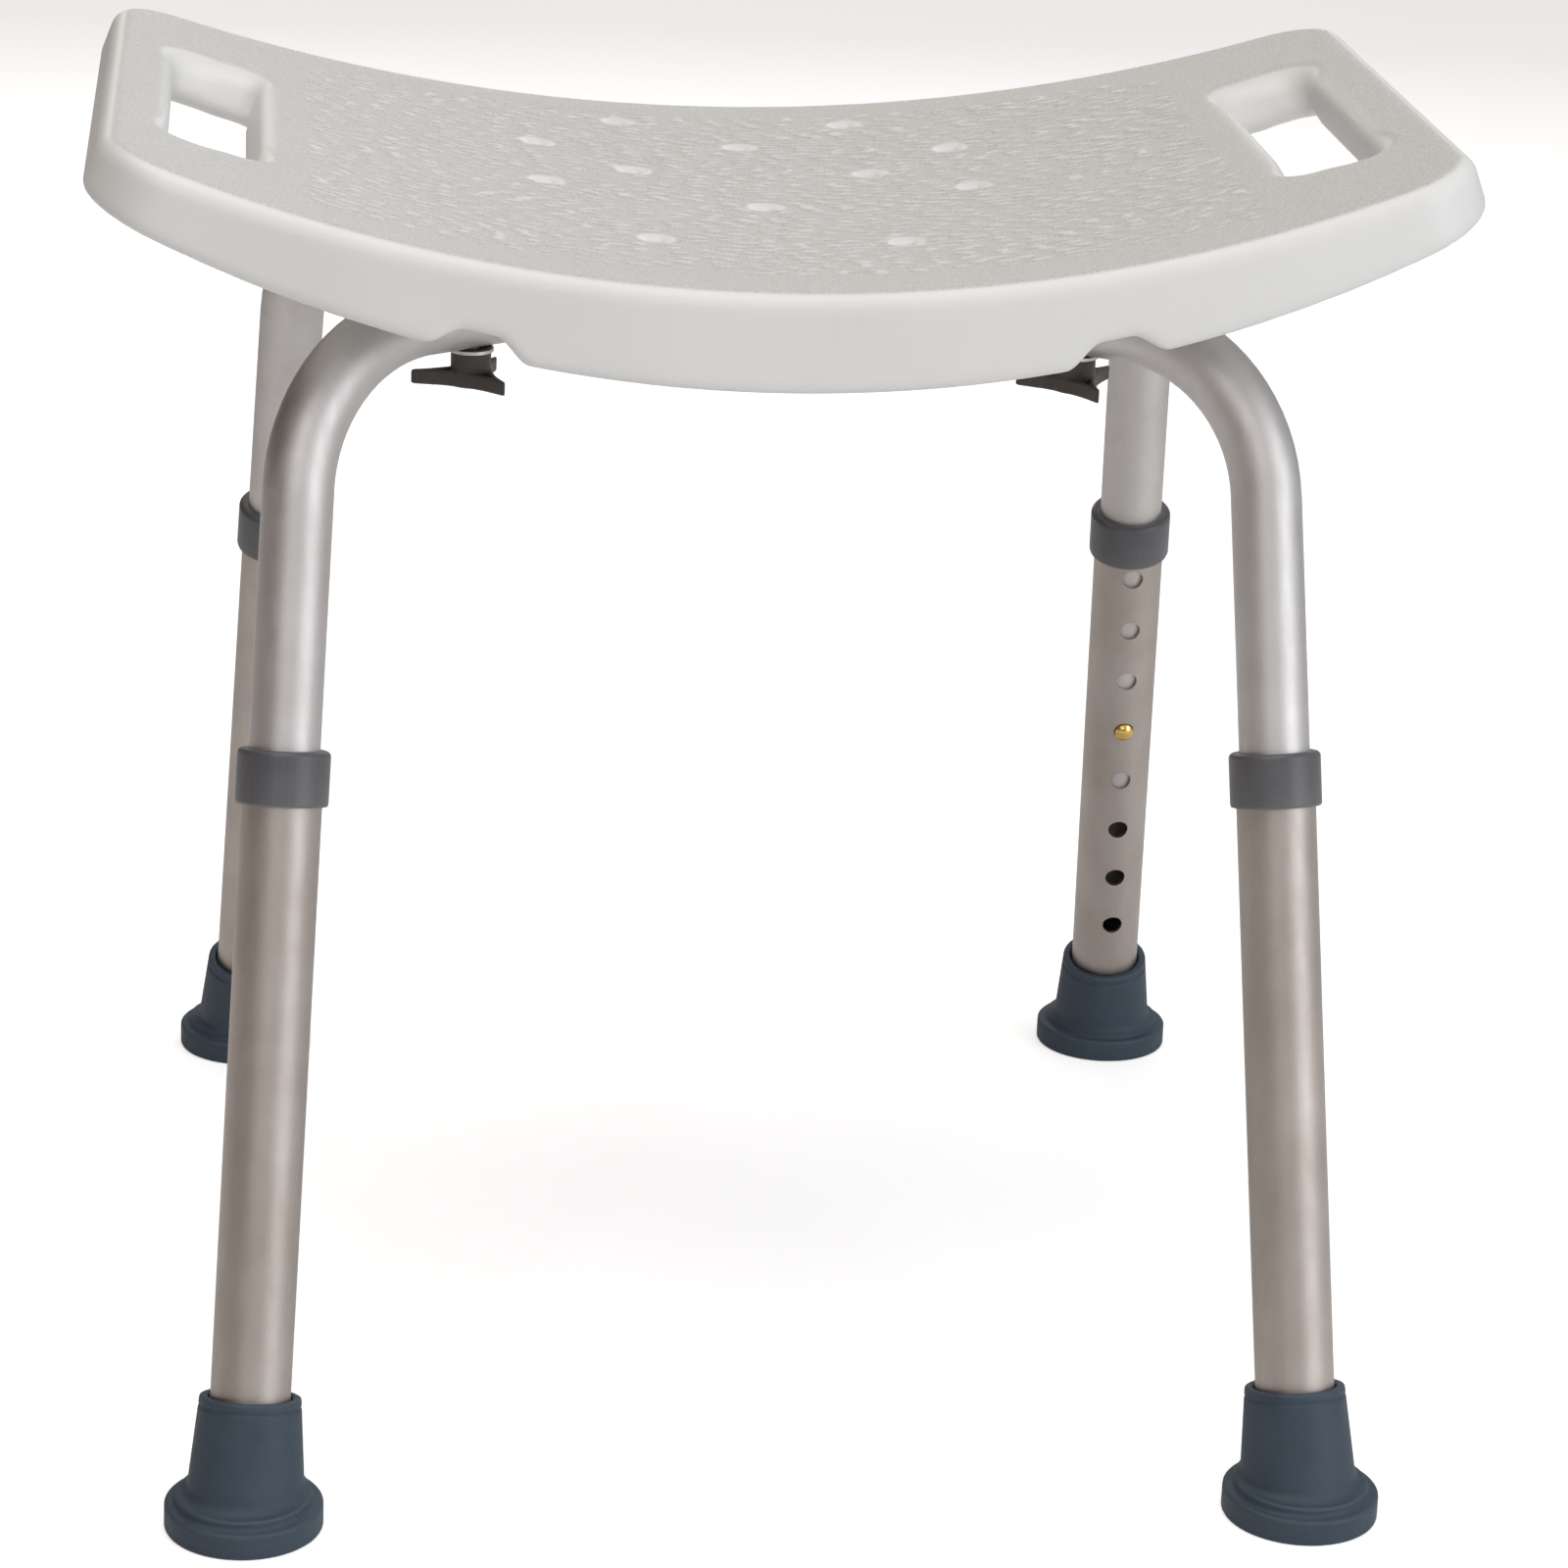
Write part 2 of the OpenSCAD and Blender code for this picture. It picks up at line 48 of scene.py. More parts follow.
# Sizes of the part, in millimetres
SEAT_Z, SEAT_R = 434.0, 674.0
CENTRE_Z = SEAT_Z + SEAT_R
HALF_W, HALF_D, BOW, CORNER_R = 245.5, 140.0, 22.0, 26.0
PANEL_T, SKIRT_END, SKIRT_MID = 20.0, 22.0, 36.0
ARCH_POS, ARCH_DEPTH = 107.0, 8.0
GRIP_POS = 204.0
GRIP_TOP, GRIP_SHRINK = (17.0, 76.0, 9.0), (1.5, 10.0, 2.0)
DRAINS = [(45, 117), (80, 62), (0, 78), (45, 28), (80, -6), (0, -26), (45, -85),
          (-45, 117), (-80, 62), (-45, 28), (-80, -6), (-45, -85)]
DRAIN_R, DISH_FLARE, DISH_DEPTH = 2.5, 3.6, 2.8
FRAME_Z, GROOVE_R = 405.5, 12.95
CROSS_HALF, CROSS_TOP = (46, 17.9), 418.6
BOSS_R, BOSS_LOW, BOSS_TOP = 14, 409, 426
INSERT_HOLE_R, INSERT_HOLE_TOP = 4.6, 428
FOOT = np.array([190.5, 226.5, 0.0])
LEAN = np.array([-0.0515, -0.2667, 1.0])
LEG_DIR = LEAN / np.linalg.norm(LEAN)
FOOT_R, FOOT_H, FLANGE_TOP = 28.2, 46.0, 10.2
RING_R, RING_TOP = 24.2, 12.8
FOOT_BORE_R, FOOT_BORE_LOW = 14.33, 11.9
KNOB_X, KNOB_Y, KNOB_LOW = 110.0, 76.754, 379.2
KNOB_REACH, KNOB_BAND_H, HUB_R, HUB_H = 22, 5.4, 7.3, 12.3
STUD_R, STUD_PITCH, STUD_DEPTH, STUD_TOP = 3.0, 1.0, 0.45, 431.0

# Sizes of the looks: edge rounding, dimples and the relief pattern of ridges, in millimetres
EDGE_R = 7.0
DIMPLE_R = 6.6
ZONE_S, ZONE_MARGIN = 171.0, 27.0
RIDGE_H, ZONE_DROP = 0.6, 0.2
RELIEF_STEP, RELIEF_SIZE = 0.5, (380, 320)


# ---------------------------------------------------------------- distance fields
def meet(a, b, r):
    """Both solids at once, with the edge between them rounded to radius r."""
    return np.minimum(np.maximum(a, b), -r) + np.hypot(np.maximum(a + r, 0), np.maximum(b + r, 0))


def join(a, b, r):
    """Either solid, with the corner between them filled to radius r."""
    return -meet(-a, -b, r)


def cut(a, b, r):
    """The first solid without the second, with the new edge rounded to radius r."""
    return meet(a, -b, r)


def ease(t):
    """Smooth step from 0 to 1."""
    t = np.clip(t, 0, 1)
    return t * t * (3 - 2 * t)


def corner(a, b, r):
    """Distance to a corner between two edges, rounded to radius r."""
    qx, qy = a + r, b + r
    return np.minimum(np.maximum(qx, qy), 0) + np.hypot(np.maximum(qx, 0), np.maximum(qy, 0)) - r


def slab(x, y, half_x, half_y, r):
    """Distance to a rectangle with round corners."""
    return corner(np.abs(x) - half_x, np.abs(y) - half_y, r)


def cells_to_mesh(f, low, step):
    """Closed quad mesh of the zero level of a sampled field, by naive surface nets."""
    inside = f < 0
    nx, ny, nz = f.shape
    count = np.zeros((nx - 1, ny - 1, nz - 1), np.int8)
    offs = [(i, j, k) for i in (0, 1) for j in (0, 1) for k in (0, 1)]
    for i, j, k in offs:
        count += inside[i:nx - 1 + i, j:ny - 1 + j, k:nz - 1 + k]
    cells = np.argwhere((count > 0) & (count < 8))
    vals = {o: f[cells[:, 0] + o[0], cells[:, 1] + o[1], cells[:, 2] + o[2]] for o in offs}
    total, n = np.zeros((len(cells), 3)), np.zeros(len(cells))
    for a in offs:
        for axis in range(3):
            if a[axis]:
                continue
            b = tuple(1 if m == axis else a[m] for m in range(3))
            va, vb = vals[a], vals[b]
            cross = (va < 0) != (vb < 0)
            t = np.where(cross, va / np.where(cross, va - vb, 1), 0)
            p = np.tile(np.array(a, float), (len(cells), 1))
            p[:, axis] += t
            total += p * cross[:, None]
            n += cross
    verts = (cells + total / n[:, None]) * step + low
    index = -np.ones((nx - 1, ny - 1, nz - 1), np.int64)
    index[cells[:, 0], cells[:, 1], cells[:, 2]] = np.arange(len(cells))
    quads = []
    for axis in range(3):
        u, v = (axis + 1) % 3, (axis + 2) % 3
        lo_s = tuple(slice(0, -1) if m == axis else slice(None) for m in range(3))
        hi_s = tuple(slice(1, None) if m == axis else slice(None) for m in range(3))
        edge = np.argwhere(inside[lo_s] != inside[hi_s])
        ok = (edge[:, u] > 0) & (edge[:, v] > 0)
        ok &= (edge[:, u] < f.shape[u] - 1) & (edge[:, v] < f.shape[v] - 1)
        edge = edge[ok]
        out = inside[edge[:, 0], edge[:, 1], edge[:, 2]]
        ring = []
        for du, dv in ((-1, -1), (0, -1), (0, 0), (-1, 0)):
            c = edge.copy()
            c[:, u] += du
            c[:, v] += dv
            ring.append(index[c[:, 0], c[:, 1], c[:, 2]])
        q = np.stack(ring, 1)
        quads.append(np.where(out[:, None], q, q[:, ::-1]))
    return verts, np.concatenate(quads)


def on_surface(field, p, rounds=3):
    """Moves points onto the zero level of a field."""
    h = 0.05
    for _ in range(rounds):
        f = field(p[:, 0], p[:, 1], p[:, 2])
        g = np.stack([
            field(p[:, 0] + h, p[:, 1], p[:, 2]) - f,
            field(p[:, 0], p[:, 1] + h, p[:, 2]) - f,
            field(p[:, 0], p[:, 1], p[:, 2] + h) - f], 1) / h
        g2 = np.maximum((g * g).sum(1), 0.05)
        step = -f / g2
        p = p + np.clip(step, -1.5, 1.5)[:, None] * g
    return p


def relaxed(verts, quads, share):
    """Moves each point towards the mean of its neighbours."""
    total, n = np.zeros_like(verts), np.zeros(len(verts))
    for k in range(4):
        a, b = quads[:, k], quads[:, (k + 1) % 4]
        for c in range(3):
            total[:, c] += np.bincount(a, verts[b, c], len(verts)) + np.bincount(b, verts[a, c], len(verts))
        n += np.bincount(a, minlength=len(verts)) + np.bincount(b, minlength=len(verts))
    return verts + share * (total / n[:, None] - verts)


def field_mesh(field, low, high, step):
    """Even quad mesh of the zero level of a field inside a box."""
    axes = [np.arange(low[k], high[k] + step, step) for k in range(3)]
    f = field(axes[0][:, None, None], axes[1][None, :, None], axes[2][None, None, :])
    f = np.broadcast_to(f, tuple(len(a) for a in axes))
    verts, quads = cells_to_mesh(f, np.array(low, float), step)
    for _ in range(3):
        verts = on_surface(field, relaxed(verts, quads, 0.5), 1)
    return on_surface(field, verts, 2), quads


def new_object(name, verts, faces, body, slot, stands_for):
    """Smooth-shaded piece that rides on a body and stands for CAD nodes."""
    mesh = bpy.data.meshes.new(name)
    verts = np.asarray(verts, float)
    if isinstance(faces, np.ndarray) and faces.shape[1] == 4:
        mesh.vertices.add(len(verts))
        mesh.vertices.foreach_set("co", verts.ravel())
        mesh.loops.add(faces.size)
        mesh.polygons.add(len(faces))
        mesh.polygons.foreach_set("loop_start", np.arange(0, faces.size, 4))
        mesh.loops.foreach_set("vertex_index", faces.ravel())
        mesh.update(calc_edges=True)
    else:
        mesh.from_pydata([tuple(v) for v in verts], [], [tuple(int(i) for i in f) for f in faces])
    mesh.validate()
    mesh.polygons.foreach_set("use_smooth", np.ones(len(mesh.polygons), bool))
    obj = bpy.data.objects.new(name, mesh)
    bpy.context.scene.collection.objects.link(obj)
    mesh.materials.append(MATS[slot])
    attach(obj, body)
    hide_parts(*stands_for)
    return obj


# ---------------------------------------------------------------- materials
def node_material(name, metallic=0.0, specular=0.5):
    mat = bpy.data.materials.new(name)
    mat.use_nodes = True
    nodes, links = mat.node_tree.nodes, mat.node_tree.links
    shader = nodes["Principled BSDF"]
    shader.inputs["Metallic"].default_value = metallic
    shader.inputs["IOR"].default_value = 1.5
    shader.inputs["Specular IOR Level"].default_value = specular
    coord = nodes.new("ShaderNodeTexCoord")
    return mat, nodes, links, shader, coord.outputs["Object"]


def noise(nodes, links, where, scale, detail=3.0, rough=0.5, stretch=None):
    if stretch:
        mapping = nodes.new("ShaderNodeMapping")
        mapping.inputs["Scale"].default_value = stretch
        links.new(where, mapping.inputs["Vector"])
        where = mapping.outputs["Vector"]
    n = nodes.new("ShaderNodeTexNoise")
    n.inputs["Scale"].default_value = scale
    n.inputs["Detail"].default_value = detail
    n.inputs["Roughness"].default_value = rough
    links.new(where, n.inputs["Vector"])
    return n.outputs["Fac"]


def ramp(nodes, links, fac, stops):
    """Colour ramp with stops of (position, colour)."""
    r = nodes.new("ShaderNodeValToRGB")
    r.color_ramp.elements[0].position, r.color_ramp.elements[-1].position = stops[0][0], stops[-1][0]
    r.color_ramp.elements[0].color, r.color_ramp.elements[-1].color = (*stops[0][1], 1), (*stops[-1][1], 1)
    for pos, col in stops[1:-1]:
        r.color_ramp.elements.new(pos).color = (*col, 1)
    links.new(fac, r.inputs["Fac"])
    return r.outputs["Color"]


def span(nodes, links, fac, low, high, from_low=0.0, from_high=1.0):
    """Maps a value's range to another range."""
    m = nodes.new("ShaderNodeMapRange")
    m.inputs["From Min"].default_value, m.inputs["From Max"].default_value = from_low, from_high
    m.inputs["To Min"].default_value, m.inputs["To Max"].default_value = low, high
    links.new(fac, m.inputs["Value"])
    return m.outputs["Result"]


def times(nodes, links, a, b):
    m = nodes.new("ShaderNodeMath")
    m.operation = "MULTIPLY"
    links.new(a, m.inputs[0])
    if isinstance(b, float):
        m.inputs[1].default_value = b
    else:
        links.new(b, m.inputs[1])
    return m.outputs[0]


def mix(nodes, links, fac, a, b):
    m = nodes.new("ShaderNodeMix")
    m.data_type = "RGBA"
    links.new(fac, m.inputs["Factor"])
    links.new(a, m.inputs[6])
    links.new(b, m.inputs[7])
    return m.outputs[2]


def bump(nodes, links, height, distance, strength=1.0, under=None):
    b = nodes.new("ShaderNodeBump")
    b.inputs["Distance"].default_value = distance
    b.inputs["Strength"].default_value = strength
    links.new(height, b.inputs["Height"])
    if under is not None:
        links.new(under, b.inputs["Normal"])
    return b.outputs["Normal"]


def mask(nodes, name):
    """A value stored on the mesh's points."""
    attribute = nodes.new("ShaderNodeAttribute")
    attribute.attribute_name = name
    return attribute.outputs["Fac"]


def seat_material():
    mat, nodes, links, shader, obj = node_material("seat_plastic", specular=0.45)
    grain, ridges = mask(nodes, "grain"), mask(nodes, "ridges")
    cloud = noise(nodes, links, obj, 14, 3)
    plain = ramp(nodes, links, cloud, [(0.3, (0.66, 0.655, 0.64)), (0.7, (0.695, 0.69, 0.675))])
    fine = noise(nodes, links, obj, 900, 2, 0.6)
    # Darker colour of the grained top, with fine random tone: painted shade standing in for the shade of its
    # grain and of a top lit less than the skirt.
    grain_shade = ramp(nodes, links, fine, [(0.32, (0.46, 0.455, 0.435)), (0.68, (0.58, 0.575, 0.555))])
    # Lighter colour on the ridges: painted highlight, standing in for the light their slopes catch.
    ridge_highlight = ramp(nodes, links, fine, [(0.3, (0.58, 0.575, 0.555)), (0.7, (0.65, 0.645, 0.625))])
    # The top's colour mixes the painted shade of the grain with the painted highlight on the ridges.
    top = mix(nodes, links, span(nodes, links, ridges, 0.0, 0.9, 0.35, 0.95), grain_shade, ridge_highlight)
    links.new(mix(nodes, links, grain, plain, top), shader.inputs["Base Color"])
    smooth_rough = span(nodes, links, cloud, 0.40, 0.46)
    grain_rough = span(nodes, links, ridges, 0.55, 0.40)
    links.new(mix(nodes, links, grain, smooth_rough, grain_rough), shader.inputs["Roughness"])
    sand = times(nodes, links, noise(nodes, links, obj, 1150, 2, 0.55), grain)
    first = bump(nodes, links, sand, 0.0005, 0.9)
    waves = noise(nodes, links, obj, 90, 3)
    links.new(bump(nodes, links, waves, 0.0002, 0.25, first), shader.inputs["Normal"])
    return mat


def aluminium(name, low, high, rough_low, rough_high):
    """Satin anodised tube with faint streaks along its length."""
    mat, nodes, links, shader, obj = node_material(name, metallic=1.0)
    cloud = noise(nodes, links, obj, 30, 4, 0.6)
    links.new(ramp(nodes, links, cloud, [(0.3, low), (0.7, high)]), shader.inputs["Base Color"])
    streaks = noise(nodes, links, obj, 260, 3, 0.6, (1, 1, 0.06))
    links.new(span(nodes, links, streaks, rough_low, rough_high, 0.25, 0.75), shader.inputs["Roughness"])
    speck = noise(nodes, links, obj, 1400, 2, 0.5)
    first = bump(nodes, links, speck, 0.00012, 0.35)
    links.new(bump(nodes, links, streaks, 0.00008, 0.3, first), shader.inputs["Normal"])
    return mat


def plastic(name, low, high, rough_low, rough_high, wear, scale=700, depth=0.0002, specular=0.5):
    """Plastic or rubber with a fine grain, paler along its edges."""
    mat, nodes, links, shader, obj = node_material(name, specular=specular)
    cloud = noise(nodes, links, obj, 60, 4, 0.6)
    colour = ramp(nodes, links, cloud, [(0.3, low), (0.7, high)])
    geometry = nodes.new("ShaderNodeNewGeometry")
    edges = span(nodes, links, geometry.outputs["Pointiness"], 0.0, 1.0, 0.52, 0.6)
    paler = ramp(nodes, links, cloud, [(0.3, wear), (0.7, wear)])
    colour = mix(nodes, links, edges, colour, paler)
    links.new(colour, shader.inputs["Base Color"])
    links.new(span(nodes, links, cloud, rough_low, rough_high, 0.3, 0.7), shader.inputs["Roughness"])
    fine = noise(nodes, links, obj, scale, 2, 0.55)
    links.new(bump(nodes, links, fine, depth, 0.5), shader.inputs["Normal"])
    return mat


def metal(name, low, high, rough_low, rough_high):
    """Turned or pressed metal with a slightly cloudy finish."""
    mat, nodes, links, shader, obj = node_material(name, metallic=1.0)
    cloud = noise(nodes, links, obj, 120, 4, 0.6)
    links.new(ramp(nodes, links, cloud, [(0.3, low), (0.7, high)]), shader.inputs["Base Color"])
    links.new(span(nodes, links, cloud, rough_low, rough_high, 0.3, 0.7), shader.inputs["Roughness"])
    fine = noise(nodes, links, obj, 500, 2, 0.5)
    links.new(bump(nodes, links, fine, 0.0001, 0.4), shader.inputs["Normal"])
    return mat


MATS = {
    "seat_plastic": seat_material(),
    "frame_aluminium": aluminium("frame_aluminium", (0.55, 0.525, 0.51), (0.62, 0.60, 0.585), 0.48, 0.58),
    # The legs' tone, darker and browner than the frame tubes, is painted reflection: it stands in for the
    # dark brown surroundings they reflect.
    "leg_aluminium": aluminium("leg_aluminium", (0.43, 0.38, 0.345), (0.50, 0.455, 0.42), 0.46, 0.56),
    "insert_brass": metal("insert_brass", (0.62, 0.42, 0.16), (0.74, 0.53, 0.24), 0.25, 0.4),
    "fixing_steel": metal("fixing_steel", (0.50, 0.50, 0.49), (0.60, 0.60, 0.58), 0.25, 0.42),
    "spring_steel": metal("spring_steel", (0.42, 0.42, 0.43), (0.50, 0.50, 0.52), 0.28, 0.4),
    "button_brass": metal("button_brass", (0.66, 0.43, 0.13), (0.78, 0.55, 0.20), 0.18, 0.32),
    "knob_plastic": plastic("knob_plastic", (0.040, 0.033, 0.027), (0.058, 0.048, 0.040), 0.42, 0.55,
                            wear=(0.085, 0.074, 0.064)),
    "collar_plastic": plastic("collar_plastic", (0.072, 0.071, 0.077), (0.088, 0.087, 0.094), 0.36, 0.48,
                              wear=(0.14, 0.14, 0.15)),
    "foot_rubber": plastic("foot_rubber", (0.031, 0.049, 0.069), (0.043, 0.063, 0.087), 0.50, 0.66,
                           scale=500, depth=0.0003, specular=0.35, wear=(0.07, 0.09, 0.112)),
}


# ---------------------------------------------------------------- seat
def seat_point(s, y, h):
    """From along the curve, depth and height above the surface to the frame, in metres."""
    a, r = s / SEAT_R, SEAT_R - h
    return np.stack([r * np.sin(a), y + 0 * s, CENTRE_Z - r * np.cos(a)], -1) * MM


def edge_y(s):
    """Half depth of the seat at a place along the curve."""
    return HALF_D + BOW * (1 - (s / HALF_W) ** 2)


def plan(s, y):
    """Distance to the outline, seen square to the surface."""
    slope = 2 * BOW * s / HALF_W ** 2
    return corner(np.abs(s) - HALF_W, (np.abs(y) - edge_y(s)) / np.sqrt(1 + slope ** 2), CORNER_R)


def skirt_depth(s):
    """Height of the skirt, lower at the finger arches."""
    arch = ARCH_DEPTH * (1 - ease((np.abs(np.abs(s) - ARCH_POS) - 5) / 13))
    return SKIRT_END + (SKIRT_MID - SKIRT_END) * (1 - (s / HALF_W) ** 2) - arch


def grip(s, y, h):
    """Hand grip: steep long walls, and ends that lean in towards the underside."""
    t = np.clip((-h + 0.5) / 17.5, 0, 1)
    a = np.abs(np.abs(s) - GRIP_POS)
    half_w, half_l, r = (top - less * t for top, less in zip(GRIP_TOP, GRIP_SHRINK))
    return slab(a, y, half_w, half_l, r) * (1 - 0.13 * grip_end(y))


def grip_end(y):
    """1 at the grips' ends and 0 along their long walls."""
    return ease((np.abs(y) - 46) / 18)


def seat_field(s, y, h):
    """The moulded seat, along the curve, in depth and in height above its surface."""
    x = (SEAT_R - h) * np.sin(s / SEAT_R)
    z = CENTRE_Z - (SEAT_R - h) * np.cos(s / SEAT_R)
    outline = plan(s, y)
    body = meet(meet(outline, h + 0 * s, EDGE_R), -h - skirt_depth(s), 4.5)
    pocket = meet(outline + 15.5 + 0.06 * (h + PANEL_T), h + PANEL_T + 0 * s, 2.0)
    body = cut(body, pocket, 2.0)
    boss = np.hypot(np.abs(x) - KNOB_X, np.abs(y) - KNOB_Y) - BOSS_R
    boss = np.maximum(meet(boss, BOSS_LOW - z, 1.5), z - BOSS_TOP)
    body = join(body, boss, 2.5)
    turn = math.atan2(KNOB_Y, KNOB_X)
    for side in (1, -1):
        off = -x * math.sin(turn) * side + y * math.cos(turn)
        body = cut(body, np.hypot(off, z - FRAME_Z) - GROOVE_R, 1.0)
        if side == 1:
            along = x * math.cos(turn) + y * math.sin(turn)
            body = cut(body, np.maximum(slab(along, off, *CROSS_HALF, 5), z - CROSS_TOP), 1.0)
    body = cut(body, np.hypot(x, y) - 10 + 0 * z + np.maximum(z - 423.5, 0) * 50, 1.0)
    outward = ease((np.abs(s) - GRIP_POS + 5) / 10)
    body = cut(body, grip(s, y, h), 3.2 + 2.0 * outward + 3.6 * grip_end(y))
    for ds, dy in DRAINS:
        body = cut(body, np.hypot(s - ds, y - dy) - drain_radius(h), 1.6)
    for kx in (KNOB_X, -KNOB_X):
        for ky in (KNOB_Y, -KNOB_Y):
            hole = np.hypot(x - kx, y - ky) - INSERT_HOLE_R
            body = cut(body, np.maximum(hole, z - INSERT_HOLE_TOP), 0.4)
    vent = np.hypot(x, y - 60) - 1.8
    return cut(body, np.maximum(vent, z - 421), 0.4)


def drain_radius(h):
    """Radius of a drain at a height: a straight hole that opens into a shallow dish."""
    t = np.clip((h + DISH_DEPTH) / DISH_DEPTH, 0, 1)
    return DRAIN_R + DISH_FLARE * t * t


def relief_sheet(step, wide, deep):
    """Short wavy leather-like ridges, as a height sheet from 0 to 1 over the seat."""
    ns, ny = int(wide / step), int(deep / step)
    ks = np.fft.fftfreq(ns, step)[:, None]
    ky = np.fft.fftfreq(ny, step)[None, :]

    def waves(length, stretch, spread):
        k = np.hypot(ks * stretch, ky)
        band = np.exp(-((k - 1 / length) / spread) ** 2)
        sheet = np.fft.ifft2(np.fft.fft2(rng.standard_normal((ns, ny))) * band).real
        return sheet / sheet.std()

    return ease((waves(4.8, 2.6, 0.045) + 0.12 * waves(24, 1.0, 0.02) - 0.15) / 1.1)


def sample(sheet, step, s, y):
    """Value of a height sheet between its samples."""
    i = (s / step + sheet.shape[0] / 2) % sheet.shape[0]
    j = (y / step + sheet.shape[1] / 2) % sheet.shape[1]
    i0, j0 = i.astype(int) % sheet.shape[0], j.astype(int) % sheet.shape[1]
    i1, j1 = (i0 + 1) % sheet.shape[0], (j0 + 1) % sheet.shape[1]
    u, v = i - np.floor(i), j - np.floor(j)
    return (sheet[i0, j0] * (1 - u) * (1 - v) + sheet[i1, j0] * u * (1 - v)
            + sheet[i0, j1] * (1 - u) * v + sheet[i1, j1] * u * v)


def split_quads(verts, quads, chosen):
    """Cuts the chosen quads in four and keeps the mesh closed along their border."""
    edges = np.concatenate([quads[:, [k, (k + 1) % 4]] for k in range(4)])
    key = np.sort(edges, 1)
    uniq, inverse = np.unique(key[:, 0] * len(verts) + key[:, 1], return_inverse=True)
    inverse = inverse.reshape(4, len(quads)).T
    used = np.zeros(len(uniq), bool)
    used[inverse[chosen].ravel()] = True
    mid_id = -np.ones(len(uniq), np.int64)
    mid_id[used] = len(verts) + np.arange(used.sum())
    a, b = uniq // len(verts), uniq % len(verts)
    mids = (verts[a[used]] + verts[b[used]]) / 2
    centre_id = len(verts) + len(mids) + np.arange(chosen.sum())
    centres = verts[quads[chosen]].mean(1)
    q, m = quads[chosen], mid_id[inverse[chosen]]
    fine = np.concatenate([np.stack([q[:, k], m[:, k], centre_id, m[:, (k + 3) % 4]], 1) for k in range(4)])
    rest, rest_mid = quads[~chosen], mid_id[inverse[~chosen]]
    touched = (rest_mid >= 0).any(1)
    border = []
    for row, mm in zip(rest[touched], rest_mid[touched]):
        loop = []
        for k in range(4):
            loop.append(int(row[k]))
            if mm[k] >= 0:
                loop.append(int(mm[k]))
        border.append(loop)
    return np.concatenate([verts, mids, centres]), fine, rest[~touched], border


def build_seat():
    """Seat mesh with a finer top, relief ridges standing up from it and masks for its material."""
    step = 2.0
    verts, quads = field_mesh(seat_field, (-249, -165, -38.5), (249, 165, 2.5), step)
    centre = verts[quads].mean(1)
    top = (centre[:, 2] > -12.5) & (plan(centre[:, 0], centre[:, 1]) < -1)
    verts, fine, rest, border = split_quads(verts, quads, top)
    verts = on_surface(seat_field, verts, 2)
    s, y, h = verts.T
    outline = plan(s, y)
    grip_d = slab(np.abs(np.abs(s) - GRIP_POS), y, *GRIP_TOP)
    drain_d = np.min([np.hypot(s - a, y - b) for a, b in DRAINS], 0) - DIMPLE_R
    is_top = ease((h + 1.2) / 0.9)
    grain = is_top * ease((-outline - 0.5) / 4) * ease((grip_d + 1) / 8) * ease(drain_d / 1.2)
    zone = is_top * ease((ZONE_S - np.abs(s)) / 1.8) * ease((-outline - ZONE_MARGIN) / 1.8)
    zone = zone * ease(drain_d / 1.2)
    sheet = relief_sheet(RELIEF_STEP, *RELIEF_SIZE)
    ridges = zone * sample(sheet, RELIEF_STEP, s, y)
    lift = RIDGE_H * ridges - ZONE_DROP * zone
    verts = np.stack([s, y, h + lift], 1)
    points = seat_point(verts[:, 0], verts[:, 1], verts[:, 2])
    faces = [tuple(f) for f in np.concatenate([fine, rest]).tolist()] + border
    seat = new_object("seat_moulding", points, faces, "stool_top", "seat_plastic", ["seat"])
    # The grain mask also places the painted shade of the grained top; the ridges mask places the painted
    # highlight on the ridges.
    for name, values in (("grain", grain), ("ridges", ridges)):
        attribute = seat.data.attributes.new(name, "FLOAT", "POINT")
        attribute.data.foreach_set("value", values.astype(np.float32))


build_seat()


# ---------------------------------------------------------------- feet
def foot_field(x, y, z):
    """Right rear foot, in millimetres in the frame."""
    px, py = x - FOOT[0], y - FOOT[1]
    rho = np.hypot(px, py) + 0 * z
    along = px * LEG_DIR[0] + py * LEG_DIR[1] + z * LEG_DIR[2]
    off = np.sqrt(np.maximum(px ** 2 + py ** 2 + z ** 2 - along ** 2, 0))
    flange = meet(meet(rho - FOOT_R, z - FLANGE_TOP + 0.14 * (rho - 22), 1.0), -z, 0.9)
    ring = meet(rho - RING_R, z - RING_TOP, 0.9)
    socket_r = 20.9 - 0.085 * (along - 13)
    socket = meet(off - socket_r, along - FOOT_H, 0.7)
    socket = np.maximum(socket, -along)
    solid = join(join(flange, np.maximum(ring, -z), 1.2), np.maximum(socket, -z), 3.0)
    lip = np.abs(along - FOOT_H + 3.4) - 0.45
    solid = cut(solid, np.maximum(lip, socket_r - 0.55 - off), 0.25)
    bore = np.maximum(off - FOOT_BORE_R - 0.8 * ease((along - 42.5) / 3), FOOT_BORE_LOW - along)
    solid = cut(solid, bore, 0.4)
    for r in (9, 15, 21):
        groove = np.maximum(np.abs(rho - r - 1.1) - 1.1, z - 1.6)
        solid = cut(solid, groove, 0.35)
    return solid


def mirrored(verts, quads, sx, sy):
    """The same mesh at another corner, with its faces still turned outwards."""
    v = verts * np.array([sx, sy, 1])
    return v, (quads if sx * sy > 0 else quads[:, ::-1])


FOOT_STEP = 0.8
foot_v, foot_q = field_mesh(foot_field, (160, 190, -2), (224, 260, 50), FOOT_STEP)
foot_v[:, 2] = np.maximum(foot_v[:, 2], 0)
for tag, (sx, sy) in CORNERS.items():
    v, q = mirrored(foot_v, foot_q, sx, sy)
    new_object(f"rubber_foot_{tag}", v * MM, q, f"lower_leg_{tag}", "foot_rubber", [f"foot_{tag}"])


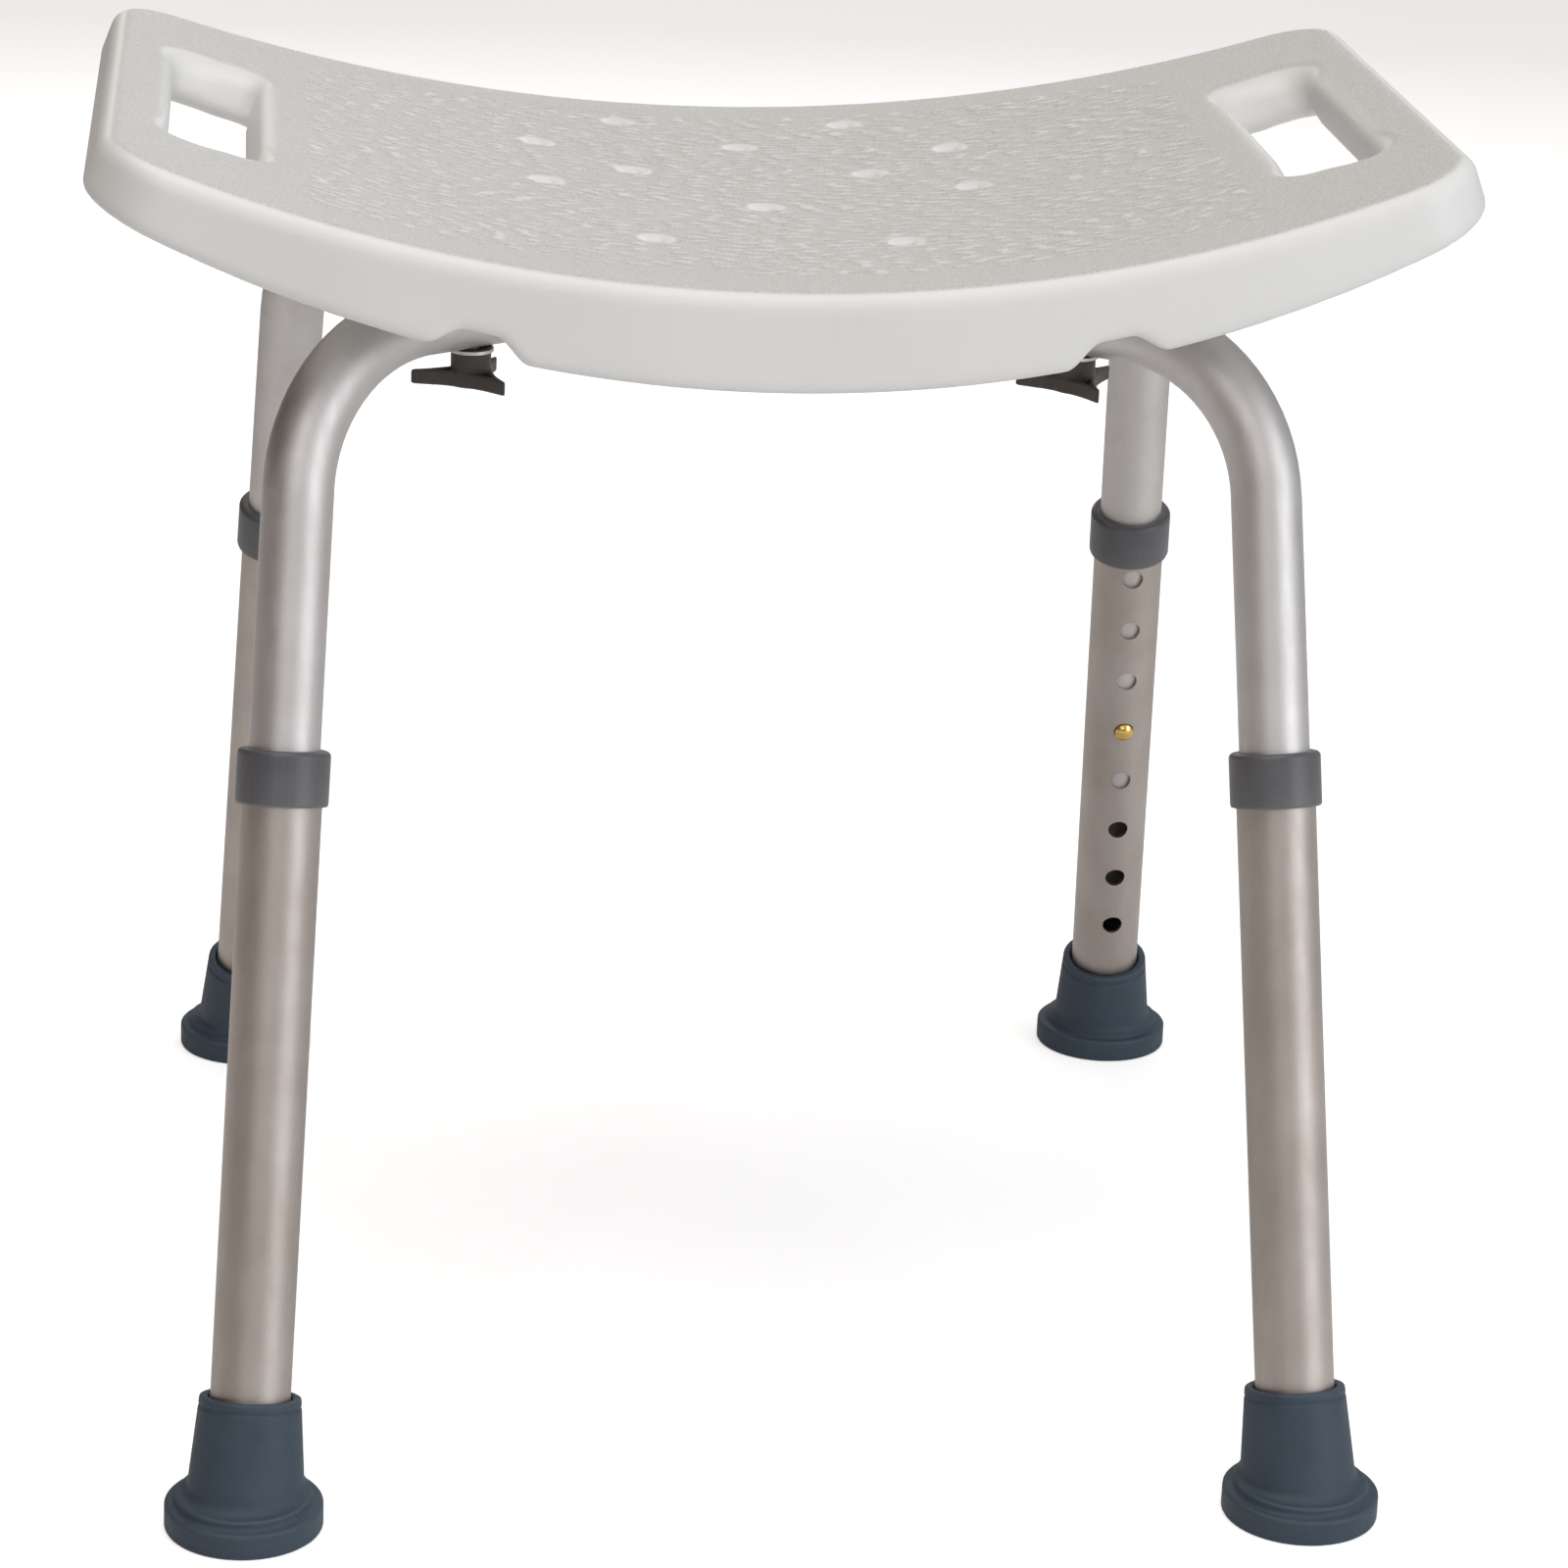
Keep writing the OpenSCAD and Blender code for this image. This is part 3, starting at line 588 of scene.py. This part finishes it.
# ---------------------------------------------------------------- knobs
def knob_field(x, y, z):
    """Three-cornered open knob about its own axis, z up from its underside."""
    tri = -1e9 + 0 * x * y
    for a in (30, 150, 270):
        c, s = math.cos(math.radians(a)), math.sin(math.radians(a))
        tri = np.maximum(tri, x * c + y * s - 13)
        tri = np.maximum(tri, 48.5 - np.hypot(x - 56 * c, y - 56 * s))
    outline = meet(tri, np.hypot(x, y) - KNOB_REACH, 1.5)
    band = np.maximum(outline, -outline - 2.0)
    solid = meet(band + 0 * z, np.abs(z - KNOB_BAND_H / 2) - KNOB_BAND_H / 2, 0.7)
    for a in (90, 210, 330):
        c, s = math.cos(math.radians(a)), math.sin(math.radians(a))
        along, off = x * c + y * s, -x * s + y * c
        rib = np.maximum(np.maximum(np.abs(off) - 1.1, np.maximum(-along, outline + 1.0)), np.abs(z - 2) - 2)
        solid = join(solid, rib, 0.6)
    hub = meet(np.hypot(x, y) - HUB_R + 0 * z, np.abs(z - HUB_H / 2) - HUB_H / 2, 0.8)
    solid = join(solid, hub, 0.8)
    return cut(solid, np.maximum(np.hypot(x, y) - STUD_R, 2 - z), 0.4)


KNOB_STEP = 0.5
knob_v, knob_q = field_mesh(knob_field, (-24, -24, -1.5), (24, 24, 14), KNOB_STEP)


def thread(name, low, high, at, body, stands_for):
    """Stud with a real helical thread."""
    around, rows = 32, int((high - low) / (STUD_PITCH / 6)) + 1
    verts, faces = [], []
    for i in range(rows):
        z = low + (high - low) * i / (rows - 1)
        for k in range(around):
            a = 2 * math.pi * k / around
            phase = (z / STUD_PITCH - k / around) % 1.0
            fade = min(1, (high - z) / STUD_PITCH + 0.2)
            r = STUD_R - STUD_DEPTH * (1 - abs(2 * phase - 1)) * fade
            verts.append((at[0] + r * math.cos(a), at[1] + r * math.sin(a), z))
    for i in range(rows - 1):
        for k in range(around):
            a, b = i * around + k, i * around + (k + 1) % around
            faces.append((a, b, b + around, a + around))
    faces.append(tuple(range(around - 1, -1, -1)))
    faces.append(tuple((rows - 1) * around + k for k in range(around)))
    new_object(name, np.array(verts) * MM, faces, body, "fixing_steel", stands_for)


for tag, (sx, sy) in CORNERS.items():
    body = f"handknob_{tag}"
    turn = math.radians(92 if sx * sy > 0 else 75)
    c, s = math.cos(turn), math.sin(turn)
    v = np.stack([knob_v[:, 0] * c - knob_v[:, 1] * s + sx * KNOB_X,
                  knob_v[:, 0] * s + knob_v[:, 1] * c + sy * KNOB_Y,
                  knob_v[:, 2] + KNOB_LOW], 1)
    new_object(f"hand_knob_{tag}", v * MM, knob_q, body, "knob_plastic", [f"knob_{tag}"])
    at = (sx * KNOB_X, sy * KNOB_Y)
    thread(f"threaded_stud_{tag}", KNOB_LOW + 2.05, STUD_TOP, at, body, [f"stud_{tag}"])


# ---------------------------------------------------------------- carried-over CAD nodes
SLOT_OF = {"insert": "insert_brass", "frame_a": "frame_aluminium", "frame_b": "frame_aluminium",
           "leg": "leg_aluminium", "collar": "collar_plastic", "button": "button_brass",
           "spring": "spring_steel"}
for members in frame["record"]["behaviour"]["bodies"].values():
    for n in members:
        obj = frame["nodes"][n]
        if obj.hide_render:
            continue
        stem = n.rsplit("_", 1)[0] if n.rsplit("_", 1)[-1] in CORNERS else n
        obj.data.materials.clear()
        obj.data.materials.append(MATS[SLOT_OF.get(stem, "fixing_steel")])


# ---------------------------------------------------------------- floor, light and camera
def stage_plane():
    """Pale floor that looks evenly lit to the camera."""
    size, n = 30.0, 24
    ticks = [-size / 2 + size * i / n for i in range(n + 1)]
    verts = [(a, b, 0) for a in ticks for b in ticks]
    faces = [(i * (n + 1) + j, (i + 1) * (n + 1) + j, (i + 1) * (n + 1) + j + 1, i * (n + 1) + j + 1)
             for i in range(n) for j in range(n)]
    mesh = bpy.data.meshes.new("floor")
    mesh.from_pydata(verts, [], faces)
    obj = bpy.data.objects.new("floor", mesh)
    bpy.context.scene.collection.objects.link(obj)
    mat, nodes, links, shader, where = node_material("floor", specular=0.1)
    pale = ramp(nodes, links, noise(nodes, links, where, 3, 2), [(0.3, (0.90,) * 3), (0.7, (0.92,) * 3)])
    links.new(pale, shader.inputs["Base Color"])
    shader.inputs["Roughness"].default_value = 0.9
    shader.inputs["Emission Color"].default_value = (1, 1, 1, 1)
    seen = nodes.new("ShaderNodeLightPath").outputs["Is Camera Ray"]
    links.new(times(nodes, links, seen, 0.47), shader.inputs["Emission Strength"])
    mesh.materials.append(mat)


def area(name, where, target, size, power, colour):
    data = bpy.data.lights.new(name, "AREA")
    data.shape = "RECTANGLE"
    data.size, data.size_y = size
    data.energy = power
    data.color = colour
    obj = bpy.data.objects.new(name, data)
    bpy.context.scene.collection.objects.link(obj)
    obj.location = where
    obj.rotation_mode = "QUATERNION"
    obj.rotation_quaternion = (Vector(target) - Vector(where)).to_track_quat("-Z", "Y")


def studio():
    """Soft lights, and a room that is brown on the left and bright on the right."""
    stage_plane()
    area("key", (1.9, -1.6, 1.0), (0, 0, 0.25), (1.6, 2.0), 26, (0.92, 0.96, 1.0))
    area("top", (-0.2, -0.3, 2.7), (0, 0, 0.3), (2.0, 2.0), 38, (1.0, 0.99, 0.98))
    area("front", (-0.9, -3.0, 2.0), (0, 0, 0.25), (1.8, 1.6), 24, (0.97, 0.98, 1.0))
    area("back", (0.1, 2.3, 1.1), (0, 0, 0.43), (1.8, 0.7), 8, (1.0, 0.99, 0.97))
    world = bpy.data.worlds.new("studio")
    bpy.context.scene.world = world
    world.use_nodes = True
    nodes, links = world.node_tree.nodes, world.node_tree.links
    back = nodes["Background"]
    coord = nodes.new("ShaderNodeTexCoord")
    split = nodes.new("ShaderNodeSeparateXYZ")
    links.new(coord.outputs["Generated"], split.inputs["Vector"])
    side = span(nodes, links, split.outputs["X"], 0.0, 1.0, -0.7, 0.8)
    room = [(0.0, (0.14, 0.085, 0.05)), (0.5, (0.42, 0.375, 0.34)), (1.0, (0.78, 0.80, 0.85))]
    colour = ramp(nodes, links, side, room)
    white = ramp(nodes, links, side, [(0.0, (1.5,) * 3), (1.0, (1.55,) * 3)])
    seen = nodes.new("ShaderNodeLightPath").outputs["Is Camera Ray"]
    links.new(mix(nodes, links, seen, colour, white), back.inputs["Color"])
    back.inputs["Strength"].default_value = 0.6


def camera():
    """Camera at the photograph's angle, placed by tilt, heading and roll in radians."""
    tilt, heading, roll = 0.3341, 0.1054, 0.0366
    place = Vector((-0.18933, -1.82170, 0.83745))
    fwd = Vector((math.sin(heading) * math.cos(tilt), math.cos(heading) * math.cos(tilt), -math.sin(tilt)))
    right = Vector((math.cos(heading), -math.sin(heading), 0))
    up = right.cross(fwd)
    r2 = right * math.cos(roll) + up * math.sin(roll)
    u2 = up * math.cos(roll) - right * math.sin(roll)
    data = bpy.data.cameras.new("camera")
    data.sensor_fit, data.sensor_width = "HORIZONTAL", 36.0
    data.lens = 114.525
    data.shift_x, data.shift_y = 0.02375, -0.003125
    data.clip_start, data.clip_end = 0.05, 60
    cam = bpy.data.objects.new("camera", data)
    bpy.context.scene.collection.objects.link(cam)
    cam.matrix_world = Matrix((
        (r2.x, u2.x, -fwd.x, place.x),
        (r2.y, u2.y, -fwd.y, place.y),
        (r2.z, u2.z, -fwd.z, place.z),
        (0, 0, 0, 1)))
    bpy.context.scene.camera = cam


studio()
camera()
bpy.context.scene.view_settings.view_transform = "Standard"
